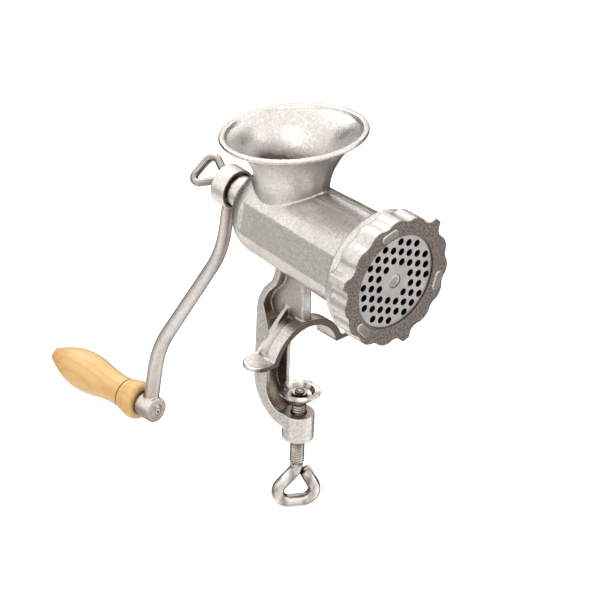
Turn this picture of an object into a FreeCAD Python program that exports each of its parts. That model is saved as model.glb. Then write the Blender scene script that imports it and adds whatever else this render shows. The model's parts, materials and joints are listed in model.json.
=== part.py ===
import FreeCAD, Part

import math
import os

from FreeCAD import Placement, Rotation, Vector

# Frame: x = 0 and y = 0 on the clamp screw's axis, z = 0 on the table top.
# The barrel lies along Y: the plate end faces -Y, the crank end faces +Y.

# Barrel
barrel_axis_height = 86.2
barrel_radius = 28.9
barrel_front_radius = 32.2
barrel_wall = 3.4
barrel_rear_wall = 8.6
rear_dome_front = 28.0
rear_dome_arc = 23.0
rear_face = 48.6
rear_neck_radius = 10.4
rear_neck_length = 13.6
side_flat_distance = 27.0
side_flat_tilt = 10.0
side_flat_bite = 0.4
side_flat_rear = 31.6
spine_half_width = 6.0
spine_rise = 0.6

# Plate end
plate_diameter = 70.0
plate_thickness = 5.5
plate_hole_diameter = 4.8
plate_hole_pitch = 7.4
plate_hole_rows_angle = 24.0
plate_blank_radius = 10.0
plate_holes_reach = 27.2
plate_proud = 1.2
plate_seat_clearance = 0.08
ring_face = -81.3
ring_lip = 1.8
ring_depth = 14.5
ring_opening_diameter = 62.0
ring_lobe_count = 15
ring_lobe_radius = 42.7
ring_valley_radius = 40.7
ring_lug_radius = 46.0
ring_lug_every = 5
ring_lug_angle = 43.0
ring_bar_length = 13.0
ring_bar_width = 5.5
ring_bar_height = 1.2
ring_bar_radius = 35.7
ring_bar_angle = 102.0
head_thread_radius = 38.0
head_collar_radius = 39.8
head_collar_length = 6.5
head_flare_slope = 70.0
thread_clearance = 0.3

# Knife and its stud
knife_thickness = 9.0
knife_blade_thickness = 6.0
knife_hub_radius = 10.0
knife_reach = 32.6
knife_root_width = 9.0
knife_tip_width = 6.0
knife_sweep = 4.0
stud_square = 11.0
stud_pin_radius = 4.4
stud_pin_recess = 0.4
stud_tail_radius = 5.0
stud_tail_length = 16.0
square_clearance = 0.15
key_pin_radius = 1.75
key_pin_length = 12.0

# Feed screw
feed_core_radius = 12.5
feed_flight_radius = 24.9
feed_flight_pitch = 26.0
feed_flight_root_width = 6.0
feed_flight_tip_width = 3.5
feed_front_gap = 1.0
thrust_washer_thickness = 2.0
thrust_washer_radius = 16.0
journal_radius = 8.0
journal_clearance = 0.08
tail_square = 11.0
tail_gap = 1.0

# Hopper
hopper_offset = 15.0
hopper_lean = 9.3
hopper_rim_height = 149.1
hopper_rim_radius = 46.6
hopper_lip_height = 3.2
hopper_lip_width = 4.4
hopper_lip_depth = 1.9
hopper_wall = 3.2
hopper_neck_radius = 25.4
hopper_neck_pinch = 3.0

# Bracket, jaw and feet
pillar_half_width = 3.7
pillar_front = -5.2
pillar_flange = 4.5
leg_half_width = 10.0
leg_wall = 3.0
leg_front = 20.0
leg_rear = 31.4
leg_web = 3.2
leg_top = 20.0
jaw_bend = -26.0
jaw_bow = 0.21
jaw_inner_rise = 9.6
arch_radius = 25.0
arch_drop = 6.0
arch_front = -6.0
arch_rear = 12.5
arm_thickness = 4.6
arm_rib_half = 4.0
arm_rib_height = 28.5
arm_foot_half = 28.0
arm_channel_front = 3.0
arm_channel_rear = 9.2
arm_channel_depth = 2.2
pad_thickness = 3.6
pad_inner = 24.0
pad_outer = 43.0
boss_radius = 10.0
boss_top = -44.6
boss_height = 18.0
jaw_floor = 5.6

# Clamp screw and cup
clamp_thread_radius = 4.5
clamp_thread_top = -34.3
clamp_thread_bottom = -80.0
clamp_tip_radius = 2.6
clamp_tip_dome = 1.3
clamp_eye_wire = 8.0
clamp_eye_width = 35.0
clamp_eye_bottom = -113.6
clamp_eye_turn = -30.0
clamp_eye_shift = -1.8
cup_top = -29.0
cup_radius = 13.3
cup_rim_inner = 9.6
cup_depth = 3.6
cup_wall = 1.6
cup_hub_radius = 4.4
cup_hub_rise = 2.2
cup_tip_clearance = 0.1

# Crank
crank_rest_angle = 7.0
crank_throw = 174.6
crank_hub_radius = 13.1
crank_hub_rear = 74.2
crank_hub_length = 11.8
crank_counterbore_radius = 11.0
crank_counterbore_depth = 5.0
crank_arm_inset = 5.0
crank_bend_radius = 65.0
crank_bend_angle = 27.0
crank_bend_start = 30.0
crank_arm_width = 10.2
crank_arm_thickness = 9.2
crank_arm_taper = 0.84
crank_boss_radius = 8.2
crank_boss_front = 107.6
crank_boss_length = 12.5

# Crank screw
crank_screw_thread_radius = 4.0
crank_screw_thread_length = 11.0
crank_screw_collar_radius = 7.0
crank_screw_collar = 2.4
crank_eye_wire = 5.0
crank_eye_width = 26.0
crank_eye_reach = 100.2
crank_eye_turn = 34.0

# Handle
handle_droop = 2.0
spindle_radius = 3.0
spindle_rivet_radius = 4.3
spindle_rivet_height = 1.2
spindle_head_radius = 4.2
spindle_head_height = 2.2
grip_clearance = 0.1
grip_length = 81.0
grip_collar_radius = 12.2
grip_collar_length = 13.2
grip_groove_depth = 0.8
grip_neck_radius = 9.7
grip_belly_radius = 12.9
grip_end_radius = 4.9
seat_washer_radius = 8.2
seat_washer_thickness = 1.2
end_washer_radius = 4.7
end_washer_thickness = 0.8

# Stations along Y that follow from the sizes above
plate_front = ring_face + ring_lip
plate_back = plate_front + plate_thickness
head_front = plate_front + plate_proud
barrel_bore_radius = barrel_radius - barrel_wall
rear_dome_centre = barrel_radius - rear_dome_arc
knife_back = plate_back + knife_thickness
feed_front = knife_back
seat_back = knife_back + feed_front_gap
ring_back = ring_face + ring_depth
bore_rear = rear_face - barrel_rear_wall
washer_front = bore_rear - thrust_washer_thickness
neck_end = rear_face + rear_neck_length
crank_hub_front = crank_hub_rear - crank_hub_length
grip_front = crank_boss_front + crank_boss_length + seat_washer_thickness
grip_end = grip_front + grip_length
plate_radius = plate_diameter / 2.0

axis_x = Vector(1, 0, 0)
axis_y = Vector(0, 1, 0)
axis_z = Vector(0, 0, 1)
barrel_axis = Vector(0, 0, barrel_axis_height)
nodes = {}


def line(a, b):
    return Part.LineSegment(a, b).toShape()


def arc(a, mid, b):
    return Part.Arc(a, mid, b).toShape()


def outline(place, points):
    """Close a flat outline: (mid, end) is reached by an arc, a list by a smooth curve."""
    start = points[0]
    edges = []
    here = start
    for point in points[1:] + [start]:
        if isinstance(point, list):
            curve = Part.BSplineCurve()
            curve.interpolate([place(here)] + [place(p) for p in point])
            edges.append(curve.toShape())
            here = point[-1]
        elif isinstance(point[0], tuple):
            mid, end = point
            edges.append(arc(place(here), place(mid), place(end)))
            here = end
        elif point != here:
            edges.append(line(place(here), place(point)))
            here = point
    return Part.Face(Part.Wire(edges))


def turned(points):
    """Solid of revolution about the barrel axis from (y, radius) points."""
    face = outline(lambda p: Vector(p[1], p[0], barrel_axis_height), points)
    return face.revolve(barrel_axis, axis_y, 360)


def disc_y(radius, y_low, y_high, x=0.0, z=barrel_axis_height):
    return Part.makeCylinder(radius, y_high - y_low, Vector(x, y_low, z), axis_y)


def disc_z(radius, z_low, z_high, x=0.0, y=0.0):
    return Part.makeCylinder(radius, z_high - z_low, Vector(x, y, z_low), axis_z)


def block(x_low, x_high, y_low, y_high, z_low, z_high):
    size = (x_high - x_low, y_high - y_low, z_high - z_low)
    return Part.makeBox(*size, Vector(x_low, y_low, z_low))


def mirrored(shape):
    return shape.mirror(Vector(0, 0, 0), axis_x)


def polar(radius, degrees):
    angle = math.radians(degrees)
    return (radius * math.cos(angle), radius * math.sin(angle))


def about_barrel(shape, degrees):
    """A copy turned about the barrel axis."""
    copy = shape.copy()
    copy.rotate(barrel_axis, axis_y, degrees)
    return copy


def rounded_path(corners, radii, place):
    """Straight runs joined by tangent arcs of the given radii."""
    edges = []
    here = corners[0]
    for index, radius in enumerate(radii):
        corner, after = corners[index + 1], corners[index + 2]
        before = corners[index]
        to_before = Vector(before[0] - corner[0], before[1] - corner[1], 0).normalize()
        to_after = Vector(after[0] - corner[0], after[1] - corner[1], 0).normalize()
        half = to_before.getAngle(to_after) / 2.0
        tangent = radius / math.tan(half)
        vertex = Vector(corner[0], corner[1], 0)
        enter = vertex + to_before * tangent
        leave = vertex + to_after * tangent
        inward = (to_before + to_after).normalize()
        middle = vertex + inward * (radius / math.sin(half) - radius)
        edges.append(line(place(here), place((enter.x, enter.y))))
        edges.append(arc(place((enter.x, enter.y)), place((middle.x, middle.y)), place((leave.x, leave.y))))
        here = (leave.x, leave.y)
    edges.append(line(place(here), place(corners[-1])))
    return Part.Wire(edges)


def swept(path, profile):
    return path.makePipeShell([profile], True, True)


def rod(path, radius):
    """A round rod along a path."""
    first = path.Edges[0]
    start = first.valueAt(first.FirstParameter)
    direction = first.tangentAt(first.FirstParameter)
    circle = Part.Wire(Part.Circle(start, direction, radius).toShape())
    return swept(path, circle)


def square_bar(side, y_low, y_high):
    half = side / 2.0
    return block(-half, half, y_low, y_high, barrel_axis_height - half, barrel_axis_height + half)


# Casting

def flare_points():
    """Cone between the barrel and the collar behind the ring, as (y, radius)."""
    slope = math.radians(head_flare_slope)
    collar_rear = ring_back + head_collar_length
    rise = head_collar_radius - barrel_front_radius
    return [(collar_rear, head_collar_radius), (collar_rear + rise / math.tan(slope), barrel_front_radius)]


def dome_point(arc_radius, y):
    """A point of the rear dome, or of its inside, which share one centre."""
    return (y, rear_dome_centre + math.sqrt(arc_radius ** 2 - (y - rear_dome_front) ** 2))


def barrel_outside():
    collar, flare_end = flare_points()
    dome_middle = (rear_dome_front + rear_face) / 2.0
    return turned([
        (head_front, 0.0),
        (head_front, head_thread_radius),
        (ring_back, head_thread_radius),
        (ring_back, head_collar_radius),
        collar,
        flare_end,
        (rear_dome_front, barrel_radius),
        (dome_point(rear_dome_arc, dome_middle), dome_point(rear_dome_arc, rear_face)),
        (rear_face, rear_neck_radius),
        (neck_end, rear_neck_radius),
        (neck_end, 0.0),
    ])


def barrel_spine():
    """The low raised strip along the top of the barrel, from the hopper to the flare."""
    front, front_radius = flare_points()[1]
    strip = turned([
        (front, 0.0),
        (front, front_radius + spine_rise),
        (rear_dome_front, barrel_radius + spine_rise),
        (rear_dome_front, 0.0),
    ])
    top = barrel_axis_height + head_collar_radius
    return strip.common(block(-spine_half_width, spine_half_width, front, hopper_offset, barrel_axis_height, top))


def side_flat(side):
    """The flat panel along one side of the barrel, which widens towards the front as the barrel does."""
    reach = barrel_radius
    front = flare_points()[1][0]
    slab = block(side_flat_distance, side_flat_distance + reach, front - side_flat_bite, side_flat_rear,
                 barrel_axis_height - reach, barrel_axis_height + reach)
    taper = math.atan2(barrel_front_radius - barrel_radius, rear_dome_front - front)
    slab.rotate(Vector(side_flat_distance, rear_dome_front, 0), axis_z, math.degrees(taper))
    slab = about_barrel(slab, -side_flat_tilt)
    return slab if side > 0 else mirrored(slab)


def pinched_ring(centre_y, height, radius, pinch, lean):
    """Two arcs that meet in a soft edge at the front and the rear."""
    half_x = radius - pinch
    half_y = radius + pinch * 0.6
    corners = [Vector(0, -half_y, 0), Vector(half_x, 0, 0), Vector(0, half_y, 0), Vector(-half_x, 0, 0)]
    place = Placement(Vector(0, centre_y, height), Rotation(axis_x, -lean))
    front, right, rear, left = [place.multVec(corner) for corner in corners]
    return Part.Wire([arc(front, right, rear), arc(rear, left, front)])


def rim_place(up):
    """The leaning frame of the hopper's rim, moved up along its own axis."""
    rim = Placement(Vector(0, hopper_offset, hopper_rim_height), Rotation(axis_x, -hopper_lean))
    return rim.multiply(Placement(Vector(0, 0, up), Rotation()))


def hopper_sections(inset):
    """Sections from the barrel up to the rim: height, radius, pinch and lean."""
    base = barrel_axis_height + barrel_radius * 0.45
    sunk = rim_place(-hopper_lip_depth)
    rim = sunk.Base.z
    neck = hopper_neck_radius
    spread = hopper_rim_radius - hopper_lip_width + hopper_wall - neck
    flare = [(0.0, 0.0), (0.22, 0.06), (0.45, 0.2), (0.68, 0.42), (0.87, 0.7), (1.0, 1.0)]
    flare_low = hopper_rim_height - 32.0
    sections = [pinched_ring(hopper_offset, base, neck - inset, hopper_neck_pinch, 0.0)]
    for share, part in flare:
        height = flare_low + (rim - flare_low) * share
        pinch = hopper_neck_pinch * (1.0 - share)
        centre_y = hopper_offset + (sunk.Base.y - hopper_offset) * share
        sections.append(pinched_ring(centre_y, height, neck + spread * part - inset, pinch, hopper_lean * share))
    return sections


def hopper_lip():
    """The rolled rim, turned about the leaning hopper axis."""
    outer = hopper_rim_radius
    inner = hopper_rim_radius - hopper_lip_width
    low = -hopper_lip_height
    soft = hopper_lip_height * 0.45
    face = outline(lambda p: Vector(p[0], 0, p[1]), [
        (inner, low),
        (outer - 1.6, low),
        ((outer - 0.2, low + soft * 0.6), (outer, low + soft)),
        (outer, -soft),
        ((outer - 0.4, -0.3), (outer - soft, 0.0)),
        (inner + soft, 0.0),
        ((inner + 0.4, -0.3), (inner, -soft)),
    ])
    ring = face.revolve(Vector(0, 0, 0), axis_z, 360)
    ring.Placement = rim_place(0.0)
    return ring


def hopper_outside():
    shell = Part.makeLoft(hopper_sections(0.0), True, False)
    return shell.fuse(hopper_lip())


def hopper_inside():
    """The bowl and throat, down into the barrel's bore."""
    sections = hopper_sections(hopper_wall)
    mouth = Part.makeLoft(sections, True, False)
    lid = Part.makeCylinder(hopper_rim_radius - hopper_lip_width, hopper_lip_height * 3.0)
    lid.Placement = rim_place(-hopper_lip_depth)
    return mouth.fuse(lid)


def bowed(a, b, bow):
    """(mid, end) of an arc from a to b that bows out by a share of its chord."""
    across, up = b[0] - a[0], b[1] - a[1]
    return (((a[0] + b[0]) / 2.0 - up * bow, (a[1] + b[1]) / 2.0 + across * bow), b)


def side_profile(points, half_width):
    """Extrude a (y, z) outline across X."""
    face = outline(lambda p: Vector(-half_width, p[0], p[1]), points)
    return face.extrude(Vector(2.0 * half_width, 0, 0))


def front_profile(points, y_low, y_high):
    """Extrude an (x, z) outline along Y."""
    face = outline(lambda p: Vector(p[0], y_low, p[1]), points)
    return face.extrude(Vector(0, y_high - y_low, 0))


def flange_curve():
    """The rear edge of the bracket, from the barrel down to the leg, as (y, z)."""
    return [(16.0, 57.0), (16.8, 51.5), (19.6, 44.3), (25.2, 37.6), (28.8, 31.0), (leg_rear, leg_top)]


def pillar():
    """The web under the barrel with a wider flange along its rear edge."""
    top = barrel_axis_height - barrel_bore_radius - 1.5
    under = arch_radius - arch_drop
    curve = flange_curve()
    inner = [(y - pillar_flange, z - pillar_flange * 0.3) for y, z in curve]
    web = side_profile([
        (pillar_front, under),
        (pillar_front, 40.0),
        (pillar_front + 2.0, 48.0),
        (pillar_front + 4.0, top),
        (curve[0][0] - 1.0, top),
        curve[0],
        curve[1:],
        (leg_rear, under),
    ], pillar_half_width)
    nose = [edge for edge in web.Edges if edge.BoundBox.YMax < pillar_front + 4.5 and edge.BoundBox.XLength < 0.01
            and edge.BoundBox.ZLength > 3.0]
    web = web.makeFillet(pillar_half_width - 0.3, nose)
    flange = side_profile([
        inner[0], (inner[0][0], top), (curve[0][0], top), curve[0], curve[1:], inner[-1], inner[-2::-1],
    ], leg_half_width)
    return web.fuse(flange)


def clamp_arm():
    """The C-shaped arm behind the table edge, a channel open to the inside."""
    jaw_bottom = boss_top - jaw_floor - leg_wall - 1.0
    arm = side_profile([
        (leg_front, leg_top - 10.0),
        (leg_rear - pillar_flange, leg_top + 9.0),
        (leg_rear - 1.0, leg_top + 3.0),
        (leg_rear, leg_top),
        (leg_rear, jaw_bend),
        bowed((leg_rear, jaw_bend), (4.4, jaw_bottom), jaw_bow),
        (0.0, jaw_bottom),
        (0.0, boss_top),
        (3.0, boss_top),
        bowed((3.0, boss_top), (leg_front, boss_top + jaw_inner_rise), -jaw_bow),
    ], leg_half_width)
    inner_rear = leg_rear - leg_web
    floor = boss_top - jaw_floor
    hollow = side_profile([
        (leg_front - 9.0, leg_top - 6.0),
        (inner_rear - 2.0, leg_top - 6.0),
        (inner_rear, leg_top - 9.0),
        (inner_rear, jaw_bend),
        bowed((inner_rear, jaw_bend), (8.5, floor), jaw_bow),
        (8.5, boss_top + 12.0),
    ], leg_half_width - leg_wall)
    return arm.cut(hollow)


def jaw_boss():
    return disc_z(boss_radius, boss_top - boss_height, boss_top)


def arch():
    """The splayed arms over the table edge: front flange, sunken floor and rear rib."""
    outer = arch_radius + arm_thickness
    body = arch_band(outer, arch_front, arm_channel_front)
    body = body.fuse(arch_band(outer - arm_channel_depth, arm_channel_front - 1.0, arm_channel_rear + 1.0))
    spring = math.sqrt(arch_radius ** 2 - arch_drop ** 2)
    crown = arch_radius - arch_drop
    rib = front_profile([
        (-arm_rib_half, arm_rib_height),
        (arm_rib_half, arm_rib_height),
        (arm_foot_half, pad_thickness),
        (arm_foot_half, 0.0),
        (spring, 0.0),
        ((0.0, crown), (-spring, 0.0)),
        (-arm_foot_half, 0.0),
        (-arm_foot_half, pad_thickness),
    ], arm_channel_rear, arch_rear)
    return body.fuse([rib, foot_pad(1), foot_pad(-1)])


def arch_band(outer, y_low, y_high):
    """One strip of the arch between its underside and an outer radius."""
    spring = math.sqrt(arch_radius ** 2 - arch_drop ** 2)
    foot = math.sqrt(outer ** 2 - arch_drop ** 2)
    return front_profile([
        (-foot, 0.0),
        ((0.0, outer - arch_drop), (foot, 0.0)),
        (spring, 0.0),
        ((0.0, arch_radius - arch_drop), (-spring, 0.0)),
    ], y_low, y_high)


def foot_pad(side):
    """A flat pad with a rounded outer end."""
    middle = (arch_front + arch_rear) / 2.0
    radius = (arch_rear - arch_front) / 2.0
    centre = pad_outer - radius
    face = outline(lambda p: Vector(p[0], p[1], 0), [
        (pad_inner, arch_front),
        (centre, arch_front),
        ((pad_outer, middle), (centre, arch_rear)),
        (pad_inner, arch_rear),
    ])
    pad = face.extrude(Vector(0, 0, pad_thickness))
    rounded = [edge for edge in pad.Edges
               if edge.Curve.TypeId == "Part::GeomCircle" and edge.BoundBox.ZMin > pad_thickness / 2.0]
    pad = pad.makeFillet(pad_thickness * 0.4, rounded)
    return pad if side > 0 else mirrored(pad)


def barrel_hollow():
    """Plate seat, knife room, bore and rear bearing in one tool."""
    seat = plate_radius + plate_seat_clearance
    bearing = journal_radius + journal_clearance
    inside = rear_dome_arc - barrel_wall
    return turned([
        (head_front - 1.0, 0.0),
        (head_front - 1.0, seat),
        (seat_back, seat),
        (seat_back, barrel_bore_radius),
        (rear_dome_front, barrel_bore_radius),
        (dome_point(inside, (rear_dome_front + bore_rear) / 2.0), dome_point(inside, bore_rear)),
        (bore_rear, bearing),
        (neck_end + 1.0, bearing),
        (neck_end + 1.0, 0.0),
    ])


def body_casting():
    shape = barrel_outside().fuse(barrel_spine())
    for side in (1, -1):
        shape = shape.cut(side_flat(side))
    shape = shape.fuse([hopper_outside(), pillar(), clamp_arm(), jaw_boss(), arch()])
    shape = shape.cut(hopper_inside())
    shape = shape.cut(barrel_hollow())
    shape = shape.cut(disc_z(clamp_thread_radius + thread_clearance, boss_top - boss_height - 1.0, boss_top + 1.0))
    shape = shape.cut(key_pin())
    nodes["body_casting"] = shape


# Plate end

def key_pin():
    centre = barrel_axis_height + plate_radius
    return disc_y(key_pin_radius, head_front, head_front + key_pin_length, 0.0, centre)


def plate_key_pin():
    nodes["plate_key_pin"] = key_pin()


def plate_hole_centres():
    """Hexagonal grid, left blank round the stud."""
    centres = []
    steps = int(plate_radius / plate_hole_pitch) + 1
    row_gap = plate_hole_pitch * math.sqrt(3.0) / 2.0
    for row in range(-steps, steps + 1):
        for step in range(-steps, steps + 1):
            u = plate_hole_pitch * (step + 0.5 * (row % 2))
            v = row_gap * row
            if plate_blank_radius < math.hypot(u, v) < plate_holes_reach:
                centres.append((math.hypot(u, v), math.degrees(math.atan2(v, u)) - plate_hole_rows_angle))
    return centres


def hole_plate():
    plate = disc_y(plate_radius, plate_front, plate_back)
    cuts = [disc_y(stud_pin_radius + thread_clearance, plate_front - 1.0, plate_back + 1.0)]
    for radius, angle in plate_hole_centres():
        x, z = polar(radius, angle)
        cuts.append(disc_y(plate_hole_diameter / 2.0, plate_front - 1.0, plate_back + 1.0,
                           x, barrel_axis_height + z))
    notch = disc_y(key_pin_radius + thread_clearance, plate_front - 1.0, plate_back + 1.0,
                   0.0, barrel_axis_height + plate_radius)
    nodes["hole_plate"] = plate.cut(cuts + [notch])


def ring_outline(y):
    """Scalloped outline of rounded lobes, with a pointed lug every few lobes."""
    step = 360.0 / ring_lobe_count

    def at(radius, degrees):
        x, z = polar(radius, degrees)
        return Vector(x, y, barrel_axis_height + z)

    edges = []
    for index in range(ring_lobe_count):
        centre = ring_lug_angle + index * step
        low, high = centre - step * 0.3, centre + step * 0.3
        shoulder = (ring_lobe_radius + ring_valley_radius) / 2.0
        start, end = at(shoulder, low), at(shoulder, high)
        if index % ring_lug_every == 0:
            left, right = at(ring_lug_radius, centre - step * 0.13), at(ring_lug_radius, centre + step * 0.13)
            edges += [line(start, left), line(left, right), line(right, end)]
        else:
            edges.append(arc(start, at(ring_lobe_radius, centre), end))
        edges.append(arc(end, at(ring_valley_radius, centre + step / 2.0), at(shoulder, low + step)))
    return Part.Wire(edges)


def ring_bar(degrees):
    """A raised bar on the ring's face."""
    half = ring_bar_length / 2.0
    end = ring_bar_width / 2.0
    face = outline(lambda p: Vector(ring_bar_radius + p[0], ring_face, barrel_axis_height + p[1]), [
        (-end, -half + end),
        ((0.0, -half), (end, -half + end)),
        (end, half - end),
        ((0.0, half), (-end, half - end)),
    ])
    bar = face.extrude(Vector(0, -ring_bar_height, 0))
    return about_barrel(bar, -degrees)


def ring_nut():
    body = Part.Face(ring_outline(ring_face)).extrude(Vector(0, ring_depth, 0))
    thread = disc_y(head_thread_radius + thread_clearance, plate_front, ring_back + 1.0)
    opening = disc_y(ring_opening_diameter / 2.0, ring_face - 1.0, plate_front + 1.0)
    body = body.cut([thread, opening])
    for index in range(3):
        body = body.fuse(ring_bar(ring_bar_angle + index * 120.0))
    nodes["ring_nut"] = body


# Knife, stud and feed screw

def knife_blade():
    """One swept blade, wide at the hub and raked towards its edge."""
    back = plate_back + knife_blade_thickness
    root, tip, lean = knife_root_width / 2.0, knife_tip_width / 2.0, knife_sweep
    inner = knife_hub_radius * 0.6

    def place(y):
        return lambda p: Vector(p[0], y, barrel_axis_height + p[1])

    front = [(inner, -root), (inner, root), (knife_reach - 1.5, tip + lean), (knife_reach - 1.0, -tip + lean)]
    rear = [(inner, -root), (inner, root * 0.4), (knife_reach - 4.0, lean), (knife_reach - 3.0, -tip + lean)]
    wires = [outline(place(plate_back), front).OuterWire, outline(place(back), rear).OuterWire]
    return Part.makeLoft(wires, True, True)


def cross_knife():
    body = disc_y(knife_hub_radius, plate_back, knife_back)
    for index in range(4):
        body = body.fuse(about_barrel(knife_blade(), index * 90.0))
    nodes["cross_knife"] = body.cut(square_bar(stud_square + 2.0 * square_clearance, plate_back - 1.0, knife_back + 1.0))


def knife_stud():
    pin = disc_y(stud_pin_radius, plate_front + stud_pin_recess, plate_back)
    square = square_bar(stud_square, plate_back, feed_front)
    tail = disc_y(stud_tail_radius, feed_front, feed_front + stud_tail_length)
    nodes["knife_stud"] = pin.fuse([square, tail])


def feed_flight():
    """The helical flight, wide at its root and thin at its edge."""
    start, end = feed_front, rear_dome_front
    half_turn_room = feed_flight_pitch * 0.1
    height = end - start - feed_flight_root_width - half_turn_room
    helix = Part.makeHelix(feed_flight_pitch, height, feed_core_radius)
    root, tip = feed_flight_root_width / 2.0, feed_flight_tip_width / 2.0
    sunk = feed_core_radius - 1.5
    corners = [Vector(sunk, 0, -root), Vector(feed_flight_radius, 0, -tip),
               Vector(feed_flight_radius, 0, tip), Vector(sunk, 0, root)]
    profile = Part.makePolygon(corners + [corners[0]])
    flight = Part.Wire(helix.Edges).makePipeShell([profile], True, True)
    flight.Placement = Placement(Vector(0, end - root - 0.5, barrel_axis_height), Rotation(axis_x, 90.0))
    return flight


def feed_screw():
    shoulder = washer_front
    core = turned([
        (feed_front, 0.0),
        (feed_front, feed_core_radius + 2.0),
        (shoulder - 6.0, feed_core_radius),
        (shoulder - 3.0, thrust_washer_radius),
        (shoulder, thrust_washer_radius),
        (shoulder, journal_radius),
        (neck_end, journal_radius),
        (neck_end, 0.0),
    ])
    tail = about_barrel(square_bar(tail_square, neck_end, crank_hub_rear - tail_gap), crank_rest_angle)
    body = core.fuse([feed_flight(), tail])
    body = body.cut(disc_y(stud_tail_radius + thread_clearance, feed_front - 1.0,
                           feed_front + stud_tail_length + 1.0))
    end = crank_hub_rear - tail_gap
    body = body.cut(disc_y(crank_screw_thread_radius + thread_clearance,
                           end - crank_screw_thread_length - 1.0, end + 1.0))
    nodes["feed_screw"] = body


def thrust_washer():
    outer = disc_y(thrust_washer_radius, washer_front, bore_rear)
    nodes["thrust_washer"] = outer.cut(disc_y(journal_radius + journal_clearance, washer_front - 1.0, bore_rear + 1.0))


# Crank and handle

def crank_arm_path():
    """The S-bent centre line in the (y, z) plane, from the hub to the boss."""
    start_y = crank_hub_rear - crank_arm_inset
    end_y = crank_boss_front + crank_boss_length / 2.0
    offset = end_y - start_y
    lean = math.tan(math.radians(crank_bend_angle))
    upper = crank_bend_start + crank_bend_radius * math.tan(math.radians(crank_bend_angle / 2.0))
    lower = upper + offset / lean
    corners = [(start_y, 0.0), (start_y, -upper), (end_y, -lower), (end_y, -crank_throw)]
    return rounded_path(corners, [crank_bend_radius, crank_bend_radius],
                        lambda p: Vector(0, p[0], barrel_axis_height + p[1]))


def arm_section(centre, scale):
    oval = Part.Ellipse(centre, scale * crank_arm_width / 2.0, scale * crank_arm_thickness / 2.0)
    return Part.Wire(oval.toShape())


def crank_arm():
    path = crank_arm_path()
    start, end = path.Vertexes[0].Point, path.Vertexes[-1].Point
    arm = path.makePipeShell([arm_section(start, crank_arm_taper), arm_section(end, 1.0)], True, True)
    boss_z = barrel_axis_height - crank_throw
    body = arm.fuse([
        disc_y(crank_hub_radius, crank_hub_front, crank_hub_rear),
        drooped(disc_y(crank_boss_radius, crank_boss_front, crank_boss_front + crank_boss_length, 0.0, boss_z)),
    ])
    body = body.cut([
        disc_y(crank_counterbore_radius, crank_hub_front - 1.0, crank_hub_front + crank_counterbore_depth),
        square_bar(tail_square + 2.0 * square_clearance, crank_hub_front - 1.0, crank_hub_rear + 1.0),
        drooped(disc_y(spindle_radius, crank_boss_front - 1.0,
                       crank_boss_front + crank_boss_length + 1.0, 0.0, boss_z)),
    ])
    nodes["crank_arm"] = about_barrel(body, crank_rest_angle)


def drooped(shape):
    """Tilt about the handle boss, whose spindle hangs a little below level."""
    copy = shape.copy()
    copy.rotate(Vector(0, crank_boss_front, barrel_axis_height - crank_throw), axis_x, -handle_droop)
    return copy


def at_handle(points):
    """Solid of revolution about the handle spindle's axis, in the crank's plane."""
    centre = barrel_axis_height - crank_throw
    face = outline(lambda p: Vector(p[1], p[0], centre), points)
    return about_barrel(drooped(face.revolve(Vector(0, 0, centre), axis_y, 360)), crank_rest_angle)


def handle_spindle():
    front = crank_boss_front
    head = grip_end + end_washer_thickness
    nodes["handle_spindle"] = at_handle([
        (front - spindle_rivet_height, 0.0),
        (front - spindle_rivet_height, 0.4),
        ((front - spindle_rivet_height * 0.75, spindle_rivet_radius * 0.6), (front, spindle_rivet_radius)),
        (front, spindle_radius),
        (head, spindle_radius),
        (head, spindle_head_radius),
        ((head + spindle_head_height * 0.75, spindle_head_radius * 0.6), (head + spindle_head_height, 0.4)),
        (head + spindle_head_height, 0.0),
    ])


def handle_grip():
    bore = spindle_radius + grip_clearance
    start = grip_front
    collar = start + grip_collar_length
    tail = grip_end - collar - 1.4
    neck, belly = grip_neck_radius, grip_belly_radius
    body = [(0.09, neck), (0.24, neck + 0.5), (0.41, neck + 2.3), (0.55, belly),
            (0.72, belly - 1.0), (0.85, belly - 3.6)]
    nodes["handle_grip"] = at_handle([
        (start, bore),
        (start, grip_collar_radius - 2.6),
        ((start + 0.8, grip_collar_radius - 0.9), (start + 3.0, grip_collar_radius)),
        [(start + 6.5, grip_collar_radius), (start + 10.0, grip_collar_radius - 1.0), (collar, neck + 0.9)],
        ((collar + 0.7, neck - grip_groove_depth), (collar + 1.4, neck + 0.5)),
        [(collar + 1.4 + tail * share, radius) for share, radius in body] + [(grip_end, grip_end_radius)],
        (grip_end, bore),
    ])


def handle_washers():
    inner = spindle_radius + grip_clearance
    seat = crank_boss_front + crank_boss_length
    nodes["handle_seat_washer"] = at_handle([
        (seat, inner), (seat, seat_washer_radius), (grip_front, seat_washer_radius), (grip_front, inner)])
    end = grip_end + end_washer_thickness
    nodes["handle_end_washer"] = at_handle([
        (grip_end, inner), (grip_end, end_washer_radius), (end, end_washer_radius), (end, inner)])


# Screws with bent eyes

def eye_rod(shank, reach, width, wire, shift, place):
    """A rod that runs down its shank and bends back on itself into a triangular eye."""
    half = width / 2.0 + wire * 0.15
    bottom = reach - wire / 2.0
    side = wire * 0.95
    free_end = wire * 0.5 + 0.4 + wire * 0.5 * 0.75
    bend_at = shank + wire * 0.35
    corners = [(0.0, 0.0), (0.0, -bend_at), (shift - half, -bottom), (shift + half, -bottom),
               (shift + free_end, -shank - wire * 0.55)]
    path = rounded_path(corners, [wire * 0.9, side, side], place)
    return rod(path, wire / 2.0)


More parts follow.
